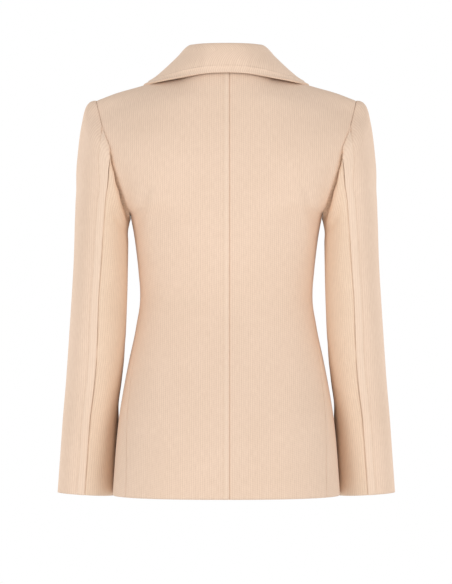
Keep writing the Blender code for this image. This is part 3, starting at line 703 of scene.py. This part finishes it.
def makeSleeve(side, top):
    way = 1 if top else -1
    start = sleeve["backSeam"] + way * sleeveDetail["spare"]
    end = sleeve["frontSeam"] + (0 if top else 360)
    dense = sleeveSurface(np.linspace(start, end, sleeveDetail["dense"]), sleeveVs)
    dense = startAt(dense, backSeamLine(), sleeveDetail["dense"] // 3, way)
    dense = dense if top else dense[:, ::-1]
    strip = seams["sleeveStrip"]
    if top:  # the strip stays upright up to the armhole seam
        reach = widthAlong(dense)
        line = dense[..., 0] - (stripTop["x"] + stripTop["slope"] * (dense[..., 2] - stripTop["z"]))
        upright = np.array([np.interp(0, gap[:60], row[:60]) for gap, row in zip(line, reach)])
        strip = strip + np.maximum(upright - strip, 0) * ease(-195, -150, dense[:, 0, 2])
        grid = respace(dense, [stripColumns(width) for width in strip], sleeveDetail["topColumns"])
        strip = strip[:, None]
    else:
        grid = respace(dense, [nearSeam] * len(dense), sleeveDetail["underColumns"])
    across, along = widthAlong(grid), lengthAlong(grid)
    n = normals(grid, 1)
    y, z = grid[..., 1], grid[..., 2]
    height = edgeDip(grid, -1, first=not top) * (0.55 + 0.45 * ease(3, 10, along))
    height += foldHeight(grid, topFolds if top else underFolds)
    # fuller over the upper arm, slimmer below, and at the wrist the inner side reaches in behind the hip
    height += sleeveForm["upper"] * np.exp(-((z + 113) / 50) ** 4) * np.maximum(n[..., 0], 0)
    height += sleeveForm["slim"] * ease(-185, -215, z) * np.maximum(n[..., 0], 0)
    height += sleeveForm["touch"] * ease(-490, -530, z) * hump(y, -47, 27) * ease(0, -0.5, n[..., 0])
    # the strip's mask also paints a paler sheen into the colour
    pressed = np.zeros(across.shape)
    if top:
        wave = 0.35 * np.sin(along / 9.5 + 0.8 * np.sin(along / 31)) * ease(300, 560, along)
        pressed, raised = pressedStrip(across, strip, wave)
        height += raised
        # the strip's edge and the seam sink in where they meet the armhole
        height -= 2.6 * hump(across, strip - 1.0, 1.4) * hump(along, 9, 6)
        height -= 0.8 * hump(across, 0, 2) * hump(along, 8, 9)
    else:
        # the ease of the cloth dips in beside the lower armhole seam
        seamZ, seamY = z[:1] + 0 * z, y[:1] + 0 * y
        share = sum(part * hump(seamZ, middle, spread) for middle, spread, part in dimples)
        profile = along / dimple["peak"] * np.exp(1 - along / dimple["peak"])
        amount = np.minimum(dimple["least"] + share, dimple["most"])
        behind = ease(10, 40, seamY) * ease(0.5, 7, across[:, -1:] - across)
        height -= dimple["depth"] * amount * profile * behind
    grid = grid + n * height[..., None]
    name = ("sleeve_top_" if top else "sleeve_under_") + ("left" if side > 0 else "right")
    piece = clothPiece(name + "_cloth", grid, side, pressed=pressed, grainMiddle=True)
    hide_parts(name)
    return piece, grid


topSleeves = {side: makeSleeve(side, True) for side in (1, -1)}
underSleeves = {side: makeSleeve(side, False) for side in (1, -1)}


print("collar")
collarDetail = {"columns": 181, "rows": 96, "standRows": 30, "edgeRound": 1.1, "thickness": 2.6}
# the last entry is the share of painted sheen on the band between the stitch line and the edge
collarForm = {"drawIn": 5.6, "stitchDip": 1.3, "stitchWidth": 1.3, "edgeRoll": 0.5, "edgeLift": 1.7,
              "liftWidth": 22, "pressed": 0.45}
collarShares = [row.share for row in collarRows]


def neckBase(share, fold):
    if share <= collar["sideShare"]:
        u = neck["share"] * share / collar["sideShare"]
        us = np.array([max(u - 0.004, 0), min(u + 0.004, neck["share"]), u])
        top = backSurface(us, np.array([backRows - 1.01, backRows - 1.0]))
        edge, seam = top[1, 2], top[1, 1] - top[1, 0]
        normal = -unit(np.cross(seam, top[1, 2] - top[0, 2]))
    else:
        last = frontRows - 1
        forward = (share - collar["sideShare"]) / (1 - collar["sideShare"])
        v = last + (collar["gorgeV"] + 0.02 - last) * forward
        grid = frontSurface(np.array([0.992, 1.0]), np.array([v - 0.01, v]))
        edge, seam = grid[1, 1], grid[0, 1] - grid[1, 1]
        normal = -unit(np.cross(grid[1, 1] - grid[1, 0], -seam))
    away = unit(np.cross(seam, normal))
    bend = np.linalg.norm(np.cross(away, unit(fold - edge)))
    return edge - normal * collar["solidWall"] / 2 + away * (seams["gap"] + collar["baseTurn"] * bend)


def collarLine(share):
    place = np.interp(share, collarShares, range(len(collarShares)))
    rows = np.array(collarRows, float)
    fold = spline(rows[:, 1:4], place, start=vec(1, 0, 0))
    edge = spline(rows[:, 4:7], place, start=vec(1, 0, 0))
    roll, swell, _ = spline(np.column_stack([rows[:, 7:9], 0 * rows[:, 0]]), place)
    base = neckBase(share, fold)
    rise = unit(fold - base)
    out = edge - fold
    out = unit(out - rise * out.dot(rise))
    return base, fold, edge, rise, out, roll, swell


def collarPoint(line, w):
    base, fold, edge, rise, out, roll, swell = line
    stand = collar["standShare"]
    if w < stand:
        return bezier(base, base + (fold - base) * 0.35, fold - out * roll, fold, w / stand)
    turn = fold + out * roll
    along = unit(edge - turn)
    bow = unit(rise - along * rise.dot(along)) * swell
    return bezier(fold, turn, (turn + edge) / 2 + bow, edge, (w - stand) / (1 - stand))


def collarMiddle():
    half = np.linspace(0, 1, collarDetail["columns"] // 2 + 1)
    stand, start, standRows = collar["standShare"], collar["notchStart"], collarDetail["standRows"]
    leafRows = collarDetail["rows"] - standRows
    ws = np.concatenate([np.linspace(0, stand, standRows), np.linspace(stand, 1, leafRows + 1)[1:]])
    leaf = (ws - stand) / (1 - stand)
    retreat = 1 - collar["notchRetreat"] * np.maximum(leaf - start, 0) / (1 - start)
    lines = np.array([[collarPoint(line, w) for w in ws] for line in map(collarLine, half)])
    right = np.zeros((len(half), len(ws), 3))
    for j, back in enumerate(retreat):  # the leaf's end slants back to the notch
        for k in range(3):
            right[:, j, k] = np.interp(half * back, half, lines[:, j, k])
    right[..., 0] -= collarWaist(right)
    return np.concatenate([mirrorX(right[:0:-1]), right])


def collarWaist(points):  # its sides draw in between the fold and the points
    x, z = points[..., 0], points[..., 2]
    return collarForm["drawIn"] * ease(-9, 3, z) * (1 - 0.45 * ease(30, 46, z)) * ease(18, 58, x)


def makeCollar():
    grid = collarMiddle()
    n = normals(grid, 1)
    across = widthAlong(grid)
    gone = across[:, -1:] - across
    along = lengthAlong(grid)
    ends = np.minimum(along, along[-1:] - along)
    inside = np.minimum(gone, ends)
    leaf = ease(30, 50, across)
    line = seams["collarStitch"]
    height = -collarForm["stitchDip"] * hump(inside, line, collarForm["stitchWidth"]) * leaf
    height += collarForm["edgeLift"] * ease(collarForm["liftWidth"], 0, gone) * leaf
    height += collarForm["edgeRoll"] * ease(0, 5, inside) * ease(14, 9, inside) * leaf
    # painted sheen: a paler band between the stitch line and the leaf's edge
    pressed = collarForm["pressed"] * ease(line + 0.5, line - 0.5, inside) * leaf
    grid = grid + n * height[..., None]
    piece = clothPiece("collar_cloth", grid, 1, thickness=collarDetail["thickness"], uvTurn=True, middle=True,
                       edgeRound=collarDetail["edgeRound"], pressed=pressed)
    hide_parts("collar")
    return piece, grid + n * collarDetail["thickness"] / 2


collarPiece, collarOuter = makeCollar()


print("lapels")
lapelDetail = {"rows": 110, "columns": 70, "rollColumns": 30, "thickness": 2.4, "edgeRound": 1.0}


def makeLapel(side):
    turns = [(1.4, -1.0), (2.2, 0.9), (1.6, 2.7), (-0.8, lapel["rise"] + 0.4)]  # round the roll: out, up
    widths = np.array([0.16, 0.3, 0.46, 0.64, 0.82, 1.0])
    rollColumns, last = lapelDetail["rollColumns"], len(turns) + len(widths) - 1
    places = np.concatenate([np.linspace(0, len(turns), rollColumns),
                             np.linspace(len(turns), last, lapelDetail["columns"] - rollColumns + 1)[1:]])
    rows = []
    for down in np.linspace(0, 1, lapelDetail["rows"]):
        def place(w):
            top = collar["gorgeV"] - 0.03 + (lapel["pointV"] - collar["gorgeV"]) * w
            width = lapel["width"] * (1 - down) + lapel["end"] * down
            width += lapel["belly"] * math.sin(math.pi * down)
            return 1 - width * w, top * (1 - down) + lapel["breakV"] * down
        u, v = place(0)
        edge, normal = onFront(np.array([1.0]), np.array([v]), side, 0)
        away = unit(edge[0] - lookUp(frontDense, [0.98], [v])[0])
        start, shift = lookUp(frontDense, [1.0], [v])[0], lapShift(edge, side)[0]
        keys = [start + away * out + normal[0] * (up + shift) for out, up in turns]
        height = lapel["rise"] + (lapel["rest"] - lapel["rise"]) * widths
        keys = np.array(keys + list(onFront(*place(widths), side, height)[0]))
        rows.append([spline(keys, p) for p in places])
    grid = np.array(rows)
    n = normals(grid, 1)
    across, along = widthAlong(grid), lengthAlong(grid)
    inside = np.minimum(across[:, -1:] - across, np.where(along < 30, along, 99))
    height = -0.4 * hump(inside, seams["edgeStitch"], 1.1) * ease(8, 20, across)
    grid = grid + n * height[..., None]
    name = "lapel_left" if side > 0 else "lapel_right"
    piece = clothPiece(name + "_cloth", grid, side, thickness=lapelDetail["thickness"], middle=True,
                       edgeRound=lapelDetail["edgeRound"])
    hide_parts(name)
    return piece, grid + n * lapelDetail["thickness"] / 2


lapels = {side: makeLapel(side) for side in (1, -1)}


print("stitches")
stitch = {"pitch": 3.6, "length": 2.9, "radius": 0.3, "lift": 0.08, "sunk": -0.35, "sides": 6, "step": 0.4}


def lineAt(rows, at, fromEnd=False):  # across the rows, at a distance from their first or last point
    points = []
    for row, reach in zip(rows, widthAlong(rows)):
        place = reach[-1] - at if fromEnd else at
        points.append([np.interp(place, reach, row[:, k]) for k in range(3)])
    return np.array(points)


def walk(points, step):  # evenly spaced points along a line
    reach = np.concatenate([[0], np.cumsum(np.linalg.norm(np.diff(points, axis=0), axis=1))])
    at = np.arange(0, reach[-1], step)
    return np.stack([np.interp(at, reach, points[:, k]) for k in range(points.shape[1])], axis=1)


def addTube(mesh, centres, ups, radii, sides):
    # a closed tube along a few points
    rings = []
    for i, (centre, up, radius) in enumerate(zip(centres, ups, radii)):
        ahead = centres[min(i + 1, len(centres) - 1)] - centres[max(i - 1, 0)]
        aside = unit(np.cross(ahead, up))
        up = unit(np.cross(aside, ahead))
        ring = []
        for k in range(sides):
            turn = math.tau * k / sides
            spoke = radius * (aside * math.cos(turn) + up * math.sin(turn))
            ring.append(mesh.verts.new((centre + spoke) * milli))
        rings.append(ring)
    for a, b in zip(rings, rings[1:]):
        for k in range(sides):
            mesh.faces.new((a[k], a[(k + 1) % sides], b[(k + 1) % sides], b[k]))
    mesh.faces.new(rings[0][::-1])
    mesh.faces.new(rings[-1])


def addStitches(mesh, points, normal, side):
    # each stitch is a short thread whose ends sink into the cloth
    joined = np.concatenate([points, normal], axis=1)
    step, sunk = stitch["step"], stitch["sunk"]
    fine = walk(joined, step)
    spots, ups = fine[:, :3] * vec(side, 1, 1), unit(fine[:, 3:] * vec(side, 1, 1))
    each, long = round(stitch["pitch"] / step), stitch["length"] / step
    for start in range(0, len(spots) - each, each):
        places = [start + round(long * share) for share in (0, 0.18, 0.5, 0.82, 1)]
        lift = [sunk, 0.02, stitch["lift"], 0.02, sunk]
        centres = [spots[p] + ups[p] * h for p, h in zip(places, lift)]
        radii = [stitch["radius"] * r for r in (0.6, 0.95, 1.0, 0.95, 0.6)]
        addTube(mesh, centres, [ups[p] for p in places], radii, stitch["sides"])


def stitchPiece(name, mesh):
    bmesh.ops.recalc_face_normals(mesh, faces=mesh.faces[:])
    piece = finishPiece(name, mesh, threadMaterial())
    return piece


threadLook = {"dark": (0.66, 0.49, 0.36), "light": (0.84, 0.65, 0.50), "twist": 0.0007}
threadMade = []


def threadMaterial():
    if not threadMade:
        s = Shader("sewing thread")
        spot = s.node("TexCoord")
        split = s.node("SeparateXYZ", inputs={"Vector": spot.outputs["Object"]})
        x, y, z = (s.maths(split.outputs[k]) for k in "XYZ")
        ply = ((x + y * 0.7 + z * 1.3) * (math.tau / threadLook["twist"])).sine()
        stops = [(0.0, (*threadLook["dark"], 1)), (1.0, (*threadLook["light"], 1))]
        tone = s.node("ValToRGB", {"stops": stops}, {"Fac": ply})
        bump = s.node("Bump", inputs={"Strength": 0.3, "Distance": 0.0002, "Height": ply})
        s.feed(s.surface, {"Base Color": tone.outputs[0], "Roughness": ply * 0.15 + 0.6,
                           "Normal": bump.outputs[0], "Specular IOR Level": 0.3})
        threadMade.append(s.material)
    return threadMade[0]


def sew(name, points, normal, side=1):
    mesh = bmesh.new()
    addStitches(mesh, points, normal, side)
    stitchPiece("stitches_" + name, mesh)


def sewLines():  # the threads stand on the grid column nearest to each line
    grid, inset = backs[1][1], seams["edgeStitch"]
    sew("centre_back", lineAt(grid, seams["centreStrip"] - 0.6), normals(grid, -1)[:, 8])
    for side, end in ((1, "left"), (-1, "right")):
        grid = topSleeves[side][1]
        sew("sleeve_" + end, grid[3:, 12], normals(grid, 1)[3:, 12], side)
        if side < 0:
            grid = fronts[side][1]
            low = int(np.argmin(np.abs(grid[:, -1, 2] - (closing["breakZ"] - 8))))
            line = lineAt(grid[1:low], inset, True)
            sew("front_edge", line, normals(grid, -1)[1:low, -4], side)
        grid = lapels[side][1]
        sew("lapel_" + end, lineAt(grid[4:-2], inset, True), normals(grid, 1)[4:-2, -6], side)
    inset, along = seams["collarStitch"], lengthAlong(collarOuter)[:, -5]
    inner = (along > inset) & (along < along[-1] - inset)
    sew("collar", lineAt(collarOuter[inner], inset, True), normals(collarOuter, 1)[inner, -6])


sewLines()


print("buttons")
button = {"radius": 10.5, "thick": 3.4, "dish": 1.0, "holeRadius": 1.1, "holePitch": 2.6, "steps": 64,
          "threadRadius": 0.3, "threadPitch": 0.55}
buttonHeights = {"button_upper": -338.0, "button_lower": -436.0}
hole = {"start": -3.0, "end": 20.0, "half": 0.9, "pitch": 0.62, "radius": 0.36, "endBars": 7}


def frontAt(x, z):  # the front's u and v at a distance and a height
    rows = frontDense[:int(len(frontVs) * 0.7)]
    us = np.array([np.interp(-x, -row[:, 0], frontUs) for row in rows])
    zs = np.array([np.interp(u, frontUs, row[:, 2]) for u, row in zip(us, rows)])
    v = np.interp(z, zs, frontVs[:len(rows)])
    return np.interp(v, frontVs[:len(rows)], us), v


def hornMaterial():
    s = Shader("brown horn")
    spot = s.node("TexCoord")
    stretch = s.node("Mapping", inputs={"Vector": spot.outputs["Object"], "Scale": (1.0, 0.6, 2.2)})
    swirl = s.node("TexNoise", inputs={"Vector": stretch.outputs[0], "Scale": 160.0, "Detail": 4.0,
                                       "Distortion": 1.6})
    speck = s.node("TexNoise", inputs={"Vector": spot.outputs["Object"], "Scale": 900.0, "Detail": 2.0})
    tone = s.node("ValToRGB", {"stops": [(0.25, (0.10, 0.05, 0.025, 1)), (0.45, (0.24, 0.125, 0.06, 1)),
                                         (0.6, (0.38, 0.22, 0.12, 1)), (0.78, (0.56, 0.38, 0.23, 1))]},
                  {"Fac": swirl.outputs["Fac"]})
    fleck = s.maths(speck.outputs["Fac"])
    bump = s.node("Bump", inputs={"Strength": 0.1, "Distance": 0.0002, "Height": fleck})
    s.feed(s.surface, {"Base Color": tone.outputs[0], "Roughness": fleck * 0.2 + 0.28,
                       "Normal": bump.outputs[0], "Coat Weight": 0.25, "Coat Roughness": 0.2})
    return s.material


hornMade = hornMaterial()


def makeButton(name, height):
    low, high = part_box(name)
    u, v = frontAt(0, height)
    _, normal = onFront(np.array([u]), np.array([v]), -1, 0)
    normal = Vector(normal[0] * vec(-1, 1, 1))
    turn = normal.to_track_quat("Z", "Y").to_matrix().to_4x4()
    centre = (Vector(low) + Vector(high)) / 2 - normal * button["thick"] / 2 * milli
    r, t, d = button["radius"], button["thick"], button["dish"]
    keys = np.array([(0.0, 0, 0), (r - 2.6, 0, 0), (r - 1.0, 0, t * 0.16), (r, 0, t * 0.5),
                     (r - 0.4, 0, t * 0.84), (r - 1.6, 0, t), (r - 2.9, 0, t - 0.28), (r - 4.4, 0, t - d),
                     (0, 0, t - d)])
    smooth = [keys[0]] + [spline(keys, p, end=vec(-1, 0, 0)) for p in np.linspace(1, 7, 40)] + [keys[-1]]
    mesh = bmesh.new()
    line = [mesh.verts.new(Vector(p) * milli) for p in smooth]
    edges = [mesh.edges.new(pair) for pair in zip(line, line[1:])]
    bmesh.ops.spin(mesh, geom=line + edges, axis=(0, 0, 1), cent=(0, 0, 0), angle=math.tau,
                   steps=button["steps"], use_merge=True)
    bmesh.ops.remove_doubles(mesh, verts=mesh.verts[:], dist=1e-7)
    bmesh.ops.recalc_face_normals(mesh, faces=mesh.faces[:])
    threads = bmesh.new()
    cutter = bmesh.new()
    places = []
    for k in range(4):
        quarter = math.pi / 4 + k * math.pi / 2
        spot = Vector((math.cos(quarter), math.sin(quarter), 0)) * button["holePitch"]
        places.append(vec(*spot))
        made = bmesh.ops.create_cone(cutter, cap_ends=True, segments=20, radius1=button["holeRadius"] * milli,
                                     radius2=button["holeRadius"] * milli, depth=4 * t * milli)
        bmesh.ops.translate(cutter, verts=made["verts"], vec=spot * milli)
    # the thread crosses the dish through opposite holes and goes on down to the cloth
    top = t - d + 0.45
    path = ((0, -0.6), (0, top - 0.5), (0.2, top), (0.5, top + 0.1), (0.8, top), (1, top - 0.5), (1, -0.6))
    for a, b in ((0, 1), (3, 2)):
        for k in (-1, 0, 1):
            shift = vec(0, 1, 0) * k * button["threadPitch"]
            start, end = places[a] * 0.96 + shift * 0.8, places[b] * 0.96 + shift * 0.8
            line = [start + (end - start) * share + vec(0, 0, up) for share, up in path]
            addTube(threads, line, [vec(0, 1, 0)] * len(line), [button["threadRadius"]] * len(line), 8)
    place = turn.copy()
    place.translation = centre
    for item in (mesh, threads, cutter):
        bmesh.ops.transform(item, matrix=place, verts=item.verts[:])
    piece = finishPiece(name + "_horn", mesh, hornMade, 40)
    tool = finishPiece(name + "_tool", cutter, hornMade)
    cut = piece.modifiers.new("holes", "BOOLEAN")
    cut.object, cut.operation = tool, "DIFFERENCE"
    bpy.context.view_layer.update()
    graph = bpy.context.evaluated_depsgraph_get()
    cutMesh = bpy.data.meshes.new_from_object(piece.evaluated_get(graph))
    piece.modifiers.clear()
    piece.data = cutMesh
    bpy.data.objects.remove(tool)
    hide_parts(name)
    stitchPiece(name + "_thread", threads)


for name, height in buttonHeights.items():
    makeButton(name, height)


def addBar(mesh, inner, outer, n):  # one thread over the buttonhole's edge
    middle = (inner + outer) / 2
    line = [inner - n * 0.3, inner + n * 0.35, middle + n * 0.5, outer + n * 0.3, outer - n * 0.4]
    addTube(mesh, line, [n] * 5, [hole["radius"]] * 5, 6)


def makeButtonholes():
    mesh = bmesh.new()
    for height in buttonHeights.values():
        spots = [frontAt(x, height) for x in np.arange(hole["start"], hole["end"], hole["pitch"])]
        points, normal = onFront(*np.array(spots).T, -1, 0.15)
        points, normal = mirrorX(points), mirrorX(normal)
        for p, n in zip(points, normal):
            for way in (1, -1):
                addBar(mesh, p + vec(0, 0, way * 0.25), p + vec(0, 0, way * (0.25 + 2 * hole["half"])), n)
        for p, n, way in ((points[0], normal[0], 1), (points[-1], normal[-1], -1)):
            for k in range(hole["endBars"]):  # the ends are bound round
                turn = math.pi * (k + 0.5) / hole["endBars"] - math.pi / 2
                ray = vec(way * math.cos(turn), 0, math.sin(turn))
                addBar(mesh, p + ray * 0.3, p + ray * (0.3 + 2 * hole["half"]), n)
    stitchPiece("buttonholes", mesh)


makeButtonholes()


print("studio")
studio = {"dome": 0.515, "aim": (0, 0, -0.3), "floorHalf": 5, "floorHeight": -1.36,
          "paper": (0.96, 0.96, 0.96, 1), "paperGlow": 0.07}
lamps = {"box": {"place": (2.9, 3.3, 0.5), "size": 1.8, "power": 57},  # one on each side
         "fill": {"place": (3.0, -2.9, 0.9), "size": 2.0, "power": 56}}


def paperMaterial():
    s = Shader("studio paper")
    s.feed(s.surface, {"Base Color": studio["paper"], "Roughness": 0.9, "Emission Color": (1, 1, 1, 1),
                       "Emission Strength": studio["paperGlow"]})
    return s.material


def makeFloor():
    mesh = bmesh.new()
    bmesh.ops.create_grid(mesh, x_segments=1, y_segments=1, size=studio["floorHalf"])
    bmesh.ops.translate(mesh, verts=mesh.verts[:], vec=(0, 0, studio["floorHeight"]))
    data = bpy.data.meshes.new("floor")
    mesh.to_mesh(data)
    mesh.free()
    data.materials.append(paperMaterial())
    floor = bpy.data.objects.new("floor", data)
    bpy.context.scene.collection.objects.link(floor)


def makeLamp(name, side, settings):
    data = bpy.data.lights.new(name, "AREA")
    data.size, data.energy = settings["size"], settings["power"]
    lamp = bpy.data.objects.new(name, data)
    x, y, z = settings["place"]
    lamp.location = (side * x, y, z)
    lamp.rotation_euler = (Vector(studio["aim"]) - lamp.location).to_track_quat("-Z", "Y").to_euler()
    bpy.context.scene.collection.objects.link(lamp)


def makeWorld():  # white to the camera, softer as light
    world = bpy.data.worlds.new("white studio")
    world.use_nodes = True
    nodes, links = world.node_tree.nodes, world.node_tree.links
    ground = nodes["Background"]
    ground.inputs["Color"].default_value = (1, 1, 1, 1)
    ray = nodes.new("ShaderNodeLightPath")
    level = nodes.new("ShaderNodeMapRange")
    level.inputs["To Min"].default_value = studio["dome"]
    level.inputs["To Max"].default_value = 1.0
    links.new(ray.outputs["Is Camera Ray"], level.inputs["Value"])
    links.new(level.outputs["Result"], ground.inputs["Strength"])
    bpy.context.scene.world = world


def makeCamera():
    data = bpy.data.cameras.new("camera")
    data.lens = view["lens"]
    data.clip_end = 50
    camera = bpy.data.objects.new("camera", data)
    camera.location = (view["aside"], view["distance"], view["height"])
    camera.rotation_euler = (math.pi / 2, 0, math.pi)
    bpy.context.scene.collection.objects.link(camera)
    bpy.context.scene.camera = camera


makeFloor()
makeWorld()
for kind, settings in lamps.items():
    for side, end in ((-1, "left "), (1, "right ")):
        makeLamp(end + kind, side, settings)
makeCamera()
bpy.context.scene.view_settings.view_transform = "Standard"
